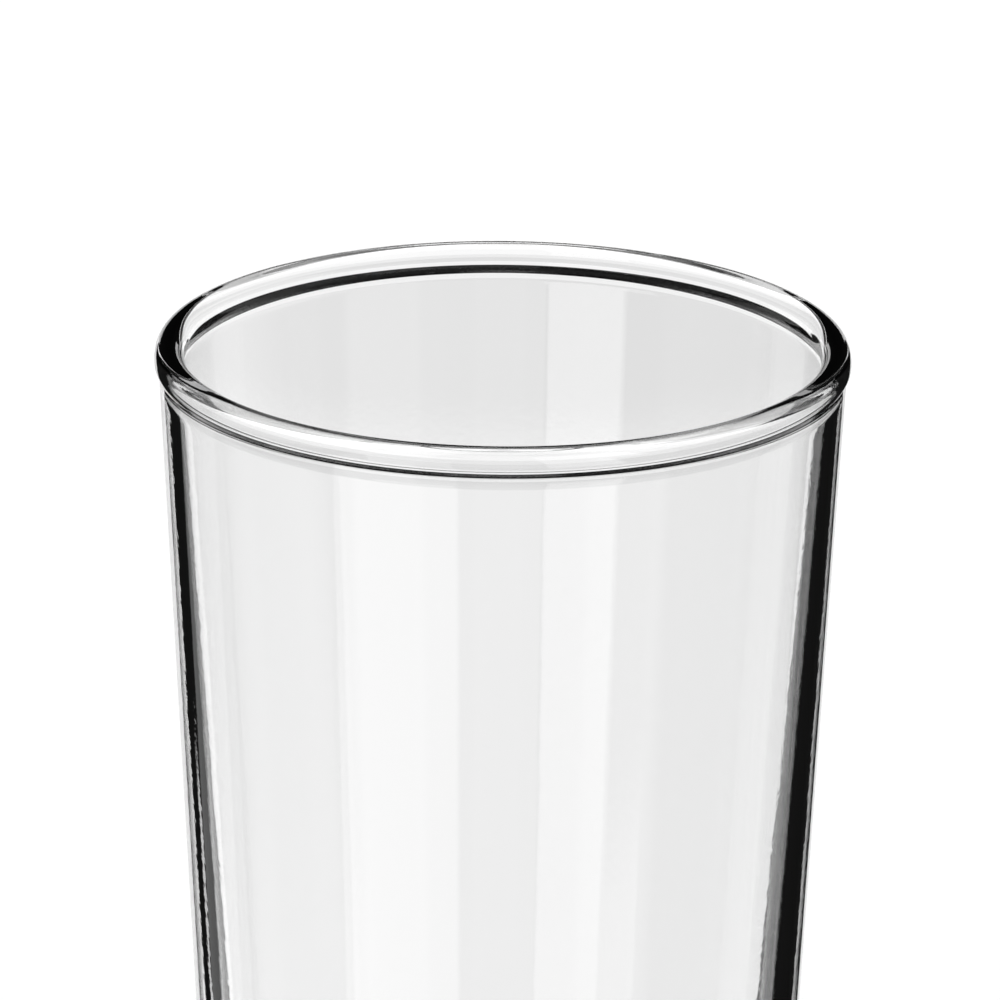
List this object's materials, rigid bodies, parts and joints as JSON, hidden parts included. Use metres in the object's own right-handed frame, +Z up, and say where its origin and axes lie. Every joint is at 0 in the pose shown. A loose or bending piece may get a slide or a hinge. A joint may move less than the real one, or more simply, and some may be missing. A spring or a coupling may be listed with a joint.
{
  "type": "mixing glass",
  "caption": "Clear glass bar mixing glass: a slightly tapered open tumbler with a beaded rim and a thick base, for stirring or shaking drinks over ice.",
  "frame": {"origin": "centre of the bearing ring, on the plane that the glass stands on", "axes": "+Z up along the glass's axis, out of its open mouth; X and Y are any two directions square to it, because the glass is round"},
  "size_m": [0.0888, 0.0888, 0.1492],
  "materials": {
    "clear_glass": "clear soda-lime glass, fire-polished, with faint ripples and a few small seeds"
  },
  "bodies": {
    "root": {"glass_body": "clear_glass"}
  },
  "joints": []
}
